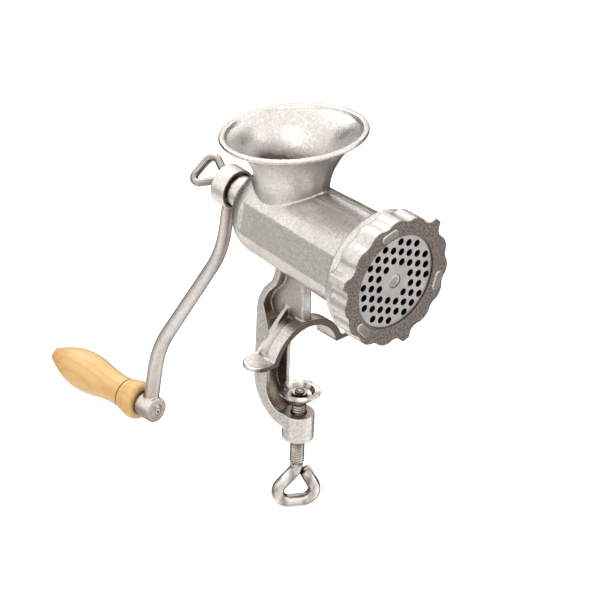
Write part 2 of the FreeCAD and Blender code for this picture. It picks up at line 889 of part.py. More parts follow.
def clamp_screw():
    turn = math.radians(clamp_eye_turn)
    top = clamp_thread_bottom

    def place(p):
        return Vector(p[0] * math.cos(turn), p[0] * math.sin(turn), top + p[1])

    eye = eye_rod(3.5, top - clamp_eye_bottom, clamp_eye_width, clamp_eye_wire, clamp_eye_shift, place)
    thread = disc_z(clamp_thread_radius, clamp_thread_bottom, clamp_thread_top)
    cup_floor = cup_top - cup_depth - cup_wall
    tip_top = cup_top - cup_depth + cup_hub_rise
    neck = disc_z(clamp_tip_radius, clamp_thread_top, tip_top)
    dome = Part.makeSphere(clamp_tip_radius + 0.5, Vector(0, 0, tip_top))
    dome = dome.common(disc_z(clamp_tip_radius + 1.0, tip_top, tip_top + clamp_tip_dome))
    shoulder = disc_z(clamp_thread_radius, clamp_thread_bottom, cup_floor)
    nodes["clamp_screw"] = eye.fuse([thread, shoulder, neck, dome])


def clamp_cup():
    """A pressed dish with a flat rim and a raised hub for the screw's tip."""
    hole = clamp_tip_radius + cup_tip_clearance
    dish = cup_top - cup_depth
    face = outline(lambda p: Vector(p[0], 0, p[1]), [
        (hole, dish + cup_hub_rise),
        (cup_hub_radius, dish + cup_hub_rise),
        (cup_hub_radius + 0.6, dish),
        (cup_rim_inner - 2.0, dish + 0.8),
        (cup_rim_inner, cup_top),
        (cup_radius, cup_top),
        (cup_radius, cup_top - 1.0),
        (cup_rim_inner - 0.4, dish - cup_wall + 0.6),
        (cup_hub_radius, dish - cup_wall),
        (hole, dish - cup_wall),
    ])
    nodes["clamp_cup"] = face.revolve(Vector(0, 0, 0), axis_z, 360)


def crank_screw():
    turn = math.radians(crank_eye_turn)
    back = crank_hub_rear + crank_screw_collar

    def place(p):
        return Vector(p[0] * math.cos(turn), back - p[1], barrel_axis_height + p[0] * math.sin(turn))

    eye = eye_rod(0.5, crank_eye_reach - back, crank_eye_width, crank_eye_wire, 0.0, place)
    collar = disc_y(crank_screw_collar_radius, crank_hub_rear, back + 1.0)
    thread = disc_y(crank_screw_thread_radius, crank_hub_rear - crank_screw_thread_length, crank_hub_rear)
    nodes["crank_screw"] = eye.fuse([collar, thread])


def write_nodes():
    os.makedirs("parts", exist_ok=True)
    for name, shape in nodes.items():
        solids = shape.Solids
        shape = solids[0] if len(solids) == 1 else Part.makeCompound(solids)
        print(name, "solids", len(solids), "valid", shape.isValid(), "volume", round(shape.Volume))
        shape.exportStep("parts/" + name + ".step")


body_casting()
plate_key_pin()
hole_plate()
ring_nut()
cross_knife()
knife_stud()
feed_screw()
thrust_washer()
crank_arm()
crank_screw()
handle_spindle()
handle_grip()
handle_washers()
clamp_screw()
clamp_cup()
write_nodes()
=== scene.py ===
import json
import math

import bpy
from bpy.props import FloatProperty, FloatVectorProperty, PointerProperty
from mathutils import Matrix, Vector


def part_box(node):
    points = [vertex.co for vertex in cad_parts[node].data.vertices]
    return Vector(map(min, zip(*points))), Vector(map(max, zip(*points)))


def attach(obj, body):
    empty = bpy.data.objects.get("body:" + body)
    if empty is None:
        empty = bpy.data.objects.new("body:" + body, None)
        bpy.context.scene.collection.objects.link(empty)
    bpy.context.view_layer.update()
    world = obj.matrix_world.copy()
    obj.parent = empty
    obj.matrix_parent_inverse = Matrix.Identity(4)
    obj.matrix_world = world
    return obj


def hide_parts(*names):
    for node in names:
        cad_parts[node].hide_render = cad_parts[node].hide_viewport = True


bl_info = {
    "name": "Hand meat grinder",
    "version": (1, 0, 0),
    "blender": (4, 2, 0),
    "location": "View3D > Sidebar > Grinder",
    "description": "Dresses the grinder's solids: cast surfaces, threads, wood and a studio",
    "category": "Object",
}

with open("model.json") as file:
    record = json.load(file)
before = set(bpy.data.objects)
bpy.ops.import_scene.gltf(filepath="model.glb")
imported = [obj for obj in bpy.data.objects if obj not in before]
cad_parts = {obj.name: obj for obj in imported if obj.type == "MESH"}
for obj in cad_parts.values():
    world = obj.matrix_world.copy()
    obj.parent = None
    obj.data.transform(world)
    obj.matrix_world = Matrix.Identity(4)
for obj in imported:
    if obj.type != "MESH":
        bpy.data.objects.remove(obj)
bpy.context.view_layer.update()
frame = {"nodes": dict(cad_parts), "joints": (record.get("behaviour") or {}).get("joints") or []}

AXIS_HEIGHT = (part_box("hole_plate")[0].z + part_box("hole_plate")[1].z) / 2.0
AXIS_POINT = Vector((0.0, 0.0, AXIS_HEIGHT))
UP = Vector((0.0, 0.0, 1.0))
RING_BAR_HEIGHT = 0.0012

# Cast surfaces: most triangles of a copy, then size, detail and resting height of the mould's waves
MOST_TRIANGLES = 170000
WAVE_SIZE = 0.009
WAVE_DETAIL = 3
WAVE_REST = 0.62

# The clamp screw's thread: its lowest point, how far it reaches up, how far the cutter stands clear
# of the rod, and half its width at the rod's surface as a share of the pitch
THREAD_FOOT = -0.0795
THREAD_REACH = 0.0435
CUTTER_CLEAR = 0.0004
HALF_GROOVE = 0.46
CUTTER_MERGE = 0.000001


def length(name, description, default):
    """A size in metres for a property group."""
    return FloatProperty(name=name, description=description, default=default,
                         unit="LENGTH", precision=5)


def share(name, description, default):
    """A plain factor between 0 and 1."""
    return FloatProperty(name=name, description=description, default=default,
                         min=0.0, max=1.0, subtype="FACTOR")


def angle(name, description, degrees):
    """An angle for a property group, given here in degrees."""
    return FloatProperty(name=name, description=description, default=math.radians(degrees),
                         subtype="ANGLE")


def colour(name, description, default):
    """A surface colour for a property group."""
    return FloatVectorProperty(name=name, description=description, default=default, size=3,
                               min=0.0, max=1.0, subtype="COLOR")


class CastingProps(bpy.types.PropertyGroup):
    tin: colour("Tin", "Colour of the tinned skin", (0.80, 0.765, 0.735))
    # painted_shade_tin is the brown of painted shade in the castings' crevices and recesses and under the
    # barrel
    painted_shade_tin: colour("Hollow tin", "Colour of the tin in corners and grooves", (0.17, 0.125, 0.10))
    sheen: share("Roughness", "Roughness of the tinned skin", 0.22)
    body_grain: length("Body grain", "Size of the cells that round the casting", 0.00065)
    ring_grain: length("Ring grain", "Size of the cells that round the ring nut", 0.00045)
    crank_grain: length("Crank grain", "Size of the cells that round the crank", 0.0005)
    unevenness: length("Unevenness", "Height of the slow waves that a sand mould leaves", 0.00022)
    face_tin: colour("Ring face", "Colour of the coarse face of the ring nut", (0.20, 0.174, 0.158))


class CutterProps(bpy.types.PropertyGroup):
    plate: colour("Plate", "Colour of the ground hole plate", (0.42, 0.41, 0.40))
    blade: colour("Knife", "Colour of the knife and the key pin", (0.45, 0.45, 0.44))
    stud: colour("Stud", "Colour of the bright end of the stud", (0.96, 0.955, 0.94))
    screw: colour("Feed screw", "Colour of the tinned feed screw", (0.66, 0.65, 0.62))
    brass: colour("Washer", "Colour of the thrust washer", (0.72, 0.56, 0.27))


class HandleProps(bpy.types.PropertyGroup):
    wood: colour("Wood", "Colour of the pale wood", (0.63, 0.405, 0.155))
    late_wood: colour("Grain", "Colour of the darker grain lines", (0.52, 0.27, 0.075))
    varnish: share("Varnish", "Roughness of the clear varnish", 0.32)
    metal: colour("Washers", "Colour of the spindle and the washers", (0.70, 0.70, 0.69))


class ScrewProps(bpy.types.PropertyGroup):
    zinc: colour("Plating", "Colour of the bright plated steel", (0.78, 0.755, 0.73))
    clamp_pitch: length("Clamp pitch", "Pitch of the clamp screw's thread", 0.00175)
    clamp_radius: length("Clamp radius", "Outer radius of the clamp screw's thread", 0.0045)
    thread_depth: length("Thread depth", "Depth of the thread", 0.00075)


class StageProps(bpy.types.PropertyGroup):
    azimuth: angle("Azimuth", "Camera's turn about the vertical", -43.65)
    elevation: angle("Elevation", "Camera's height above the level", 30.69)
    roll: angle("Roll", "Camera's roll", 2.44)
    distance: length("Distance", "Camera's distance", 5.0)
    lens_mm: FloatProperty(name="Lens", description="Focal length in millimetres on a 36 mm sensor",
                           default=484.338)
    right_shift: length("Right", "How far the origin lies right of the frame's middle", 0.000867)
    down_shift: length("Down", "How far the origin lies below the frame's middle", 0.03097)
    floor_level: length("Floor", "Height of the floor", -0.1225)
    floor_colour: colour("Floor colour", "Colour of the floor", (0.93, 0.93, 0.93))


# Selection and mesh helpers

def deselect():
    """Leave edit mode and select nothing."""
    if bpy.context.object and bpy.context.object.mode != "OBJECT":
        bpy.ops.object.mode_set(mode="OBJECT")
    bpy.ops.object.select_all(action="DESELECT")


def pick(obj):
    """Make obj the only selected and the active object."""
    deselect()
    obj.select_set(True)
    bpy.context.view_layer.objects.active = obj
    return obj


def named(name):
    """Name the object that an operator has just added."""
    obj = bpy.context.object
    obj.name = name
    obj.data.name = name
    return obj


def settle(obj):
    """Put the object's place into its mesh."""
    pick(obj)
    bpy.ops.object.transform_apply(location=True, rotation=True, scale=True)
    return obj


def modify(obj, kind, **values):
    """Add one modifier, set it up and apply it."""
    pick(obj)
    modifier = obj.modifiers.new(kind.title(), kind)
    for key, value in values.items():
        setattr(modifier, key, value)
    bpy.ops.object.modifier_apply(modifier=modifier.name)
    return obj


def in_edit(obj, *steps):
    """Run edit-mode steps on the whole mesh."""
    pick(obj)
    bpy.ops.object.mode_set(mode="EDIT")
    bpy.ops.mesh.select_all(action="SELECT")
    for step in steps:
        step()
    bpy.ops.object.mode_set(mode="OBJECT")
    return obj


def merge(distance=0.00001):
    """An edit-mode step that joins points closer than distance."""
    return lambda: bpy.ops.mesh.remove_doubles(threshold=distance)


def outward():
    """An edit-mode step that turns every face outward."""
    bpy.ops.mesh.normals_make_consistent(inside=False)


def close_holes():
    """An edit-mode step that fills the open ends of a mesh."""
    bpy.ops.mesh.select_all(action="DESELECT")
    bpy.ops.mesh.select_non_manifold()
    bpy.ops.mesh.fill_holes(sides=0)
    bpy.ops.mesh.select_all(action="SELECT")


def smooth(obj, degrees=35.0):
    """Shade smooth, apart from edges sharper than degrees."""
    pick(obj)
    bpy.ops.object.shade_smooth_by_angle(angle=math.radians(degrees))
    return obj


def solid_copy(node, name):
    """A merged copy of a CAD piece's mesh, to be shaped further."""
    copy = bpy.data.objects.new(name, frame["nodes"][node].data.copy())
    bpy.context.scene.collection.objects.link(copy)
    copy.data.name = name
    copy.data.materials.clear()
    return in_edit(copy, merge())


def cast_copy(node, name, grain, passes, waves):
    """A copy whose corners and seams are rounded as sand casting leaves them.

    The remesh gives quads, so the mesh has twice as many triangles as faces.
    """
    copy = solid_copy(node, name)
    modify(copy, "REMESH", mode="VOXEL", voxel_size=grain, adaptivity=0.0)
    modify(copy, "SMOOTH", factor=0.5, iterations=passes)
    mould = bpy.data.textures.new(name + "_mould", "CLOUDS")
    mould.noise_scale = WAVE_SIZE
    mould.noise_depth = WAVE_DETAIL
    modify(copy, "DISPLACE", texture=mould, texture_coords="LOCAL", strength=waves, mid_level=WAVE_REST)
    triangles = 2 * len(copy.data.polygons)
    if triangles > MOST_TRIANGLES:
        modify(copy, "DECIMATE", ratio=MOST_TRIANGLES / triangles)
    pick(copy)
    bpy.ops.object.shade_smooth()
    return copy


def finish_piece(obj, body, slot, material, *nodes):
    """Ride on a body, take the finish and stand for the CAD nodes."""
    obj.data.materials.clear()
    obj.data.materials.append(material)
    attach(obj, body)
    if nodes:
        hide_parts(*nodes)
    return obj


def paint(node, material):
    """Give a carried-over CAD node its material."""
    obj = frame["nodes"][node]
    obj.data.materials.clear()
    obj.data.materials.append(material)
    return obj


# Materials

# Noises of the surfaces: scale in waves per metre, detail and roughness
TIN_CLOUD = (60.0, 6.0, 0.6)
TIN_GRAIN = (1150.0, 3.0, 0.65)
TIN_PITS = (430.0, 6.0, 0.72)
RING_SAND = (640.0, 6.0, 0.85)
GROUND_CLOUD = (90.0, 5.0)
PLATED_CLOUD = (120.0, 3.0)
PLATED_SCUFFS = (500.0, 2.0, 0.5)
PLATED_DARK_REFLECTIONS = (150.0, 3.0, 0.5)
WOOD_PORES = (1300.0, 4.0, 0.7)
WOOD_CLOUD = (60.0, 3.0, 0.5)
FLOOR_CLOUD = (3.0, 2.0)

# Where the painted shade and painted light on the castings start and end: heights, then places to the side
# and to the rear
LIT_LOWER_PART = (-0.035, 0.015)
OVER_ARCH = (0.035, 0.055)
ARCH_FOOT = (-0.012, -0.004)
ARCH_TOP = (0.024, 0.034)
BESIDE_PILLAR = (0.016, 0.030)
BEHIND_ARCH = (0.035, 0.050)

# Y of a normal that points forward, and of one that points too far aside, for the painted shadow on the
# arch's front
FORWARD = (-0.85, -0.50)

# Places along Y from the ring's face: where its coarse skin ends, and the tops and sides of its bars, which
# get painted highlights
SANDY_FACE = (0.0003, 0.0007)
BAR_TOP = (-0.0012, -0.0009)
BAR_SIDE = (-0.0006, -0.0003)

# Reach in metres of the search for walls near a point, which sets where painted shade falls
CREVICE_REACH = 0.010
ROOF_REACH = 0.090
HOLE_REACH = 0.008
FITTING_REACH = 0.016
GRIP_REACH = 0.030
SEAM_REACH = 0.004

# The crank's rivet: the pit in its middle and the step around its head, both given painted shade
RIVET_PIT = (0.0009, 0.0012)
RIVET_STEP_RADIUS = 0.0023
RIVET_STEP_WIDTH = (0.0001, 0.0003)

# Painted light and shade: single pieces made lighter or darker than the colour of their metal
RING_SHADE = 0.95
CRANK_LIGHT = 1.05
EYE_SHADE = 0.50

# Painted shade colours: dark reflection streaks on plated steel, its corners, and the rivet's pit and step
PLATED_SHADE = (0.30, 0.26, 0.235)
PLATED_CORNER_SHADE = (0.10, 0.072, 0.058)
RIVET_SHADE = (0.07, 0.06, 0.055)
# Painted shade colour for the feed screw's hollows
FEED_SCREW_SHADE = (0.2, 0.19, 0.17)


def toned(tint, factor):
    """A colour made lighter or darker."""
    return tuple(factor * part for part in tint)


class Finish:
    """A material being wired: its nodes, links and main shader."""

    def __init__(self, name):
        self.material = bpy.data.materials.new(name)
        self.material.use_nodes = True
        self.tree = self.material.node_tree
        self.shader = self.tree.nodes["Principled BSDF"]
        self.place = self.add("ShaderNodeTexCoord").outputs["Object"]

    def add(self, kind, **values):
        """Add a node and set its own values."""
        node = self.tree.nodes.new(kind)
        for key, value in values.items():
            setattr(node, key, value)
        return node

    def link(self, output, socket):
        """Lead an output to a socket."""
        self.tree.links.new(output, socket)

    def set(self, **values):
        """Set plain values of the main shader."""
        for key, value in values.items():
            self.shader.inputs[key.replace("_", " ")].default_value = value

    def mapped(self, scale=(1.0, 1.0, 1.0), turn=(0.0, 0.0, 0.0), shift=(0.0, 0.0, 0.0)):
        """The place on the object, moved, turned and stretched."""
        node = self.add("ShaderNodeMapping")
        node.inputs["Scale"].default_value = scale
        node.inputs["Rotation"].default_value = turn
        node.inputs["Location"].default_value = shift
        self.link(self.place, node.inputs["Vector"])
        return node.outputs["Vector"]

    def noise(self, scale, detail=4.0, rough=0.55, vector=None):
        """A cloudy pattern of values from 0 to 1."""
        node = self.add("ShaderNodeTexNoise")
        node.inputs["Scale"].default_value = scale
        node.inputs["Detail"].default_value = detail
        node.inputs["Roughness"].default_value = rough
        self.link(vector or self.place, node.inputs["Vector"])
        return node.outputs["Fac"]

    def spread(self, value, low, high, to_low=0.0, to_high=1.0):
        """Stretch the values from low to high over another range, and stop at its ends."""
        node = self.add("ShaderNodeMapRange")
        node.inputs["From Min"].default_value = low
        node.inputs["From Max"].default_value = high
        node.inputs["To Min"].default_value = to_low
        node.inputs["To Max"].default_value = to_high
        self.link(value, node.inputs["Value"])
        return node.outputs["Result"]

    def blend(self, factor, first, second):
        """Mix two colours; each is a socket or three numbers."""
        node = self.add("ShaderNodeMix", data_type="RGBA")
        self.link(factor, node.inputs[0])
        for socket, value in ((node.inputs[6], first), (node.inputs[7], second)):
            if isinstance(value, bpy.types.NodeSocket):
                self.link(value, socket)
            else:
                socket.default_value = (*value, 1.0)
        return node.outputs[2]

    def maths(self, kind, first, second=0.0):
        """Reckon with one value or two; each is a socket or a number."""
        node = self.add("ShaderNodeMath", operation=kind)
        for socket, value in ((node.inputs[0], first), (node.inputs[1], second)):
            if isinstance(value, float):
                socket.default_value = value
            else:
                self.link(value, socket)
        return node.outputs[0]

    def axes(self, vector):
        """The X, Y and Z of a vector, by name."""
        node = self.add("ShaderNodeSeparateXYZ")
        self.link(vector, node.inputs[0])
        return node.outputs

    def radius(self, centre):
        """Distance from the line through centre along Y."""
        place = self.axes(self.mapped(shift=(-centre.x, -centre.y, -centre.z)))
        across = self.maths("MULTIPLY", place["X"], place["X"])
        upward = self.maths("MULTIPLY", place["Z"], place["Z"])
        return self.maths("SQRT", self.maths("ADD", across, upward))

    def corners(self, reach):
        """0 in tight corners, 1 on open surfaces."""
        node = self.add("ShaderNodeAmbientOcclusion", samples=8)
        node.inputs["Distance"].default_value = reach
        return node.outputs["AO"]

    def bump(self, height, strength, depth):
        """A rough normal from a height of up to depth metres."""
        node = self.add("ShaderNodeBump")
        node.inputs["Strength"].default_value = strength
        node.inputs["Distance"].default_value = depth
        self.link(height, node.inputs["Height"])
        return node.outputs["Normal"]

    def to(self, **sockets):
        """Lead outputs to inputs of the main shader."""
        for key, value in sockets.items():
            self.link(value, self.shader.inputs[key.replace("_", " ")])


def sandy_face(finish, along, face_at, sandy, tin, coat):
    """A coarse face with bars given painted highlights on their tops and edges, laid over the colour,
    roughness and height in coat.
    """
    base, dull, height = coat
    face, top, side = ([face_at + edge for edge in span] for span in (SANDY_FACE, BAR_TOP, BAR_SIDE))
    on_face = finish.spread(along, *face, to_low=1.0, to_high=0.0)
    # Painted highlight: the bars' tops lighter and their edges tin-bright
    top_highlight = finish.spread(along, *top, to_low=0.55, to_high=0.0)
    edge_highlight = finish.maths("MULTIPLY", finish.spread(along, *top),
                           finish.spread(along, *side, to_low=0.9, to_high=0.0))
    sand = finish.spread(finish.noise(*RING_SAND), 0.43, 0.57)
    coarse = finish.blend(sand, toned(sandy, 0.42), toned(sandy, 1.45))
    coarse = finish.blend(top_highlight, coarse, toned(sandy, 1.35))
    coarse = finish.blend(edge_highlight, coarse, tin)
    base = finish.blend(on_face, base, coarse)
    dull = finish.maths("ADD", dull, finish.maths("MULTIPLY", on_face, 0.14))
    height = finish.maths("ADD", height, finish.maths("MULTIPLY", on_face, sand))
    return base, dull, height


def painted_shade_in_hollows(finish, place, low, hollow, near, base):
    """Painted shade in brown: in crevices, under the barrel, as a painted shadow on the arch's front edge,
    and in recesses.
    """
    # Painted shade in crevices
    crevice = finish.spread(finish.corners(CREVICE_REACH), 0.28, 0.86)
    base = finish.blend(crevice, toned(hollow, 1.2), base)
    # Painted shade under the barrel, only low down and near the pillar
    roof_shade = finish.spread(finish.corners(ROOF_REACH), 0.30, 0.88)
    roof_shade = finish.maths("MAXIMUM", roof_shade, finish.spread(place["Z"], *OVER_ARCH))
    aside = finish.maths("ABSOLUTE", place["X"])
    roof_shade = finish.maths("MAXIMUM", roof_shade, finish.spread(aside, *BESIDE_PILLAR))
    base = finish.blend(roof_shade, hollow, base)
    # Painted shadow on the arch's front face, between its foot and top and ahead of its rear
    facing = finish.axes(finish.add("ShaderNodeNewGeometry").outputs["Normal"])
    arch_front_shadow = finish.spread(facing["Y"], *FORWARD)
    for outside in (
        finish.spread(place["Z"], *ARCH_FOOT, to_low=1.0, to_high=0.0),
        finish.spread(place["Z"], *ARCH_TOP),
        finish.spread(place["Y"], *BEHIND_ARCH),
    ):
        arch_front_shadow = finish.maths("MAXIMUM", arch_front_shadow, outside)
    base = finish.blend(arch_front_shadow, toned(hollow, 0.55), base)
    # Painted shade in recesses, deeper on the lower part
    reach, shut_at, open_at = near
    deepened = finish.spread(low, 0.0, 1.0, to_low=0.80)
    recess = finish.spread(finish.maths("MULTIPLY", finish.corners(reach), deepened), shut_at, open_at)
    return finish.blend(recess, hollow, base)


def tinned_iron(name, tin, hollow, rough, skin=0.00008, grit=1.0, near=(0.035, 0.18, 0.80), face=None):
    """Tinned cast iron: bright where touched, dull in the pits, with brown painted shade in the hollows and
    painted light on its lower part.

    skin is the depth of the pits in metres and grit their share of dark. near is how far the search
    for recesses that get painted shade reaches, and where it finds one shut (full shade) and open (none).
    face is the place and colour of a coarse face, along Y.
    """
    finish = Finish(name)
    place = finish.axes(finish.place)
    broad = finish.spread(finish.noise(*TIN_CLOUD), 0.36, 0.66)
    grain = finish.noise(*TIN_GRAIN)
    pits = finish.spread(finish.noise(*TIN_PITS), 0.36, 0.60)
    # Lower part: the tin is painted lighter (painted light) and its recesses get deeper painted shade
    low = finish.spread(place["Z"], *LIT_LOWER_PART)
    base = finish.blend(broad, toned(tin, 0.84), tin)
    base = finish.blend(low, toned(tin, 1.06), base)
    pit_share = finish.spread(pits, 0.0, 1.0, to_low=0.55 * grit, to_high=0.0)
    base = finish.blend(pit_share, base, toned(tin, 0.55))
    grain_share = finish.spread(grain, 0.42, 0.58, to_low=0.5 * grit, to_high=0.0)
    base = finish.blend(grain_share, base, toned(tin, 0.48))
    dull = finish.spread(broad, 0.0, 1.0, to_low=rough + 0.12, to_high=rough)
    height = finish.maths("ADD", finish.maths("MULTIPLY", pits, 0.6), finish.maths("MULTIPLY", grain, 0.4))
    if face:
        base, dull, height = sandy_face(finish, place["Y"], *face, tin, (base, dull, height))
    finish.to(Base_Color=painted_shade_in_hollows(finish, place, low, hollow, near, base))
    finish.to(Roughness=dull)
    finish.to(Normal=finish.bump(height, strength=0.8, depth=skin))
    finish.set(Metallic=0.88)
    return finish.material


def ground_steel(name, tint, rough, centre):
    """Steel faced on a grinder, with fine marks around its centre and painted shade in its holes and corners.
    """
    finish = Finish(name)
    rings = finish.add("ShaderNodeTexNoise", noise_dimensions="1D")
    rings.inputs["Scale"].default_value = 2600.0
    rings.inputs["Detail"].default_value = 3.0
    finish.link(finish.radius(centre), rings.inputs["W"])
    cloud = finish.spread(finish.noise(*GROUND_CLOUD), 0.3, 0.7)
    toned_metal = finish.blend(cloud, toned(tint, 0.80), tint)
    # Painted shade: nearly black in holes and close corners
    unshaded_share = finish.spread(finish.corners(HOLE_REACH), 0.35, 0.75)
    finish.to(Base_Color=finish.blend(unshaded_share, toned(tint, 0.02), toned_metal))
    finish.to(Roughness=finish.spread(cloud, 0.0, 1.0, to_low=rough + 0.1, to_high=rough))
    finish.to(Normal=finish.bump(rings.outputs["Fac"], strength=0.25, depth=0.00002))
    finish.set(Metallic=0.92)
    return finish.material


def plated_steel(name, tint, rough, riveted=None):
    """Bright plated steel with slight handling marks, painted dark streaks for reflections, painted shade in
    corners, and painted shade marking a stepped head around a rivet's middle.
    """
    finish = Finish(name)
    cloud = finish.spread(finish.noise(*PLATED_CLOUD), 0.3, 0.7)
    scuffs = finish.noise(*PLATED_SCUFFS)
    toned_metal = finish.blend(cloud, toned(tint, 0.90), tint)
    # Painted reflection: dark streaks
    dark_reflections = finish.noise(*PLATED_DARK_REFLECTIONS, finish.mapped(scale=(1.0, 1.0, 0.5)))
    toned_metal = finish.blend(finish.spread(dark_reflections, 0.36, 0.60), PLATED_SHADE, toned_metal)
    if riveted:
        # Painted shade in the rivet's pit and along the step of its head
        radius = finish.radius(riveted)
        from_step = finish.maths("ABSOLUTE", finish.maths("SUBTRACT", radius, RIVET_STEP_RADIUS))
        bright = finish.maths("MULTIPLY", finish.spread(radius, *RIVET_PIT),
                              finish.spread(from_step, *RIVET_STEP_WIDTH))
        toned_metal = finish.blend(bright, RIVET_SHADE, toned_metal)
    # Painted shade in corners
    unshaded_share = finish.spread(finish.corners(FITTING_REACH), 0.50, 0.995)
    finish.to(Base_Color=finish.blend(unshaded_share, PLATED_CORNER_SHADE, toned_metal))
    finish.to(Roughness=finish.spread(scuffs, 0.3, 0.7, to_low=rough, to_high=rough + 0.08))
    finish.to(Normal=finish.bump(scuffs, strength=0.05, depth=0.00002))
    finish.set(Metallic=0.95)
    return finish.material


def varnished_wood(name, wood, grain, varnish, along, centre):
    """Pale turned wood with long grain lines and a clear varnish, with painted shade near its ends and seams.
    """
    finish = Finish(name)
    turn = along.to_track_quat("Z", "Y").inverted().to_matrix()
    straight = finish.mapped(turn=tuple(turn.to_euler()), shift=tuple(turn @ -centre))
    stretch = finish.add("ShaderNodeMapping")
    stretch.inputs["Scale"].default_value = (1.0, 1.0, 0.07)
    finish.link(straight, stretch.inputs["Vector"])
    lines = finish.add("ShaderNodeTexWave", wave_type="BANDS", bands_direction="X", wave_profile="SIN")
    lines.inputs["Scale"].default_value = 90.0
    lines.inputs["Distortion"].default_value = 7.0
    lines.inputs["Detail"].default_value = 3.0
    lines.inputs["Detail Scale"].default_value = 1.3
    finish.link(stretch.outputs["Vector"], lines.inputs["Vector"])
    base = finish.blend(finish.spread(lines.outputs["Fac"], 0.55, 1.0, to_high=0.5), wood, grain)
    pores = finish.noise(*WOOD_PORES, stretch.outputs["Vector"])
    base = finish.blend(finish.spread(pores, 0.56, 0.72, to_high=0.45), base, toned(grain, 0.7))
    broad = finish.spread(finish.noise(*WOOD_CLOUD, stretch.outputs["Vector"]), 0.3, 0.7)
    base = finish.blend(finish.spread(broad, 0.0, 1.0, to_low=0.35, to_high=0.0), base, grain)
    # Painted shade near the grip's ends, where it meets other parts
    end_shade = finish.spread(finish.corners(GRIP_REACH), 0.30, 0.80, to_low=0.75, to_high=0.0)
    base = finish.blend(end_shade, base, grain)
    # Painted shade along the seams
    unshaded_share = finish.spread(finish.corners(SEAM_REACH), 0.15, 0.75)
    finish.to(Base_Color=finish.blend(unshaded_share, toned(grain, 0.70), base))
    finish.to(Normal=finish.bump(pores, strength=0.18, depth=0.00005))
    finish.set(Roughness=0.5, Coat_Weight=0.55, Coat_Roughness=varnish)
    return finish.material


# Shapes

def cut_thread(obj, origin, axis, reach, radius, depth, pitch, sides=40):
    """Cut a right-handed thread into a rod, from origin along axis."""
    outer = radius + CUTTER_CLEAR
    half = HALF_GROOVE * pitch
    profile = [Vector((radius - depth, 0.0, 0.0)), Vector((outer, 0.0, half)), Vector((outer, 0.0, -half))]
    mesh = bpy.data.meshes.new("thread_groove")
    mesh.from_pydata(profile, [(0, 1), (1, 2), (2, 0)], [])
    groove = bpy.data.objects.new("thread_groove", mesh)
    bpy.context.scene.collection.objects.link(groove)
    modify(groove, "SCREW", axis="Z", steps=sides, render_steps=sides, screw_offset=pitch,
           iterations=int(reach / pitch))
    in_edit(groove, merge(CUTTER_MERGE), close_holes, outward)
    groove.matrix_world = Matrix.Translation(origin) @ axis.to_track_quat("Z", "Y").to_matrix().to_4x4()
    settle(groove)
    modify(obj, "BOOLEAN", operation="DIFFERENCE", object=groove, solver="EXACT")
    bpy.data.objects.remove(groove)
    return in_edit(obj, merge(CUTTER_MERGE), outward)


# Pieces

class GRINDER_OT_casting(bpy.types.Operator):
    """Cast body: one tinned iron casting with soft corners"""
    bl_idname = "grinder.casting"
    bl_label = "Cast body"

    def execute(self, context):
        values = context.scene.grinder_casting
        body = cast_copy("body_casting", "cast_body", values.body_grain, passes=2, waves=values.unevenness)
        tin = tinned_iron("tinned_body", tuple(values.tin), tuple(values.painted_shade_tin), values.sheen)
        finish_piece(body, "casting", "cast", tin, "body_casting")
        return {"FINISHED"}


class GRINDER_OT_ring(bpy.types.Operator):
    """Ring nut: scalloped rim, lugs and raised bars"""
    bl_idname = "grinder.ring"
    bl_label = "Ring nut"

    def execute(self, context):
        values = context.scene.grinder_casting
        ring = cast_copy("ring_nut", "cast_ring", values.ring_grain, passes=2,
                         waves=0.6 * values.unevenness)
        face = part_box("ring_nut")[0].y
        # The ring takes a darker copy of the tin: painted shade
        tin = tinned_iron("tinned_ring", toned(values.tin, RING_SHADE), tuple(values.painted_shade_tin), values.sheen,
                          face=(face + RING_BAR_HEIGHT, tuple(values.face_tin)))
        finish_piece(ring, "ring", "cast", tin, "ring_nut")
        return {"FINISHED"}


class GRINDER_OT_cutters(bpy.types.Operator):
    """Hole plate, knife, stud, feed screw and washer"""
    bl_idname = "grinder.cutters"
    bl_label = "Plate, knife and feed screw"

    def execute(self, context):
        values = context.scene.grinder_cutters
        plate = smooth(solid_copy("hole_plate", "ground_plate"), 30.0)
        steel = ground_steel("ground_plate_steel", tuple(values.plate), rough=0.3, centre=AXIS_POINT)
        finish_piece(plate, "plate", "plate_steel", steel, "hole_plate")
        blade = ground_steel("knife_steel", tuple(values.blade), rough=0.34, centre=AXIS_POINT)
        for node in ("cross_knife", "plate_key_pin"):
            paint(node, blade)
        paint("knife_stud", plated_steel("bright_stud", tuple(values.stud), rough=0.3))
        tin = tinned_iron("tinned_feed_screw", tuple(values.screw), FEED_SCREW_SHADE, rough=0.42)
        paint("feed_screw", tin)
        paint("thrust_washer", plated_steel("turned_brass", tuple(values.brass), rough=0.4))
        return {"FINISHED"}


class GRINDER_OT_crank(bpy.types.Operator):
    """Crank arm: hub, bent arm and handle boss in one casting"""
    bl_idname = "grinder.crank"
    bl_label = "Crank arm"

    def execute(self, context):
        values = context.scene.grinder_casting
        arm = cast_copy("crank_arm", "cast_crank", values.crank_grain, passes=6,
                        waves=0.5 * values.unevenness)
        # The crank takes a lighter copy of the tin (painted light) and a wide search for painted shade near
        # its hub
        tin = tinned_iron("tinned_crank", toned(values.tin, CRANK_LIGHT), tuple(values.painted_shade_tin),
                          values.sheen + 0.04, skin=0.00006, grit=0.65, near=(0.080, 0.46, 0.86))
        finish_piece(arm, "crank", "cast", tin, "crank_arm")
        return {"FINISHED"}


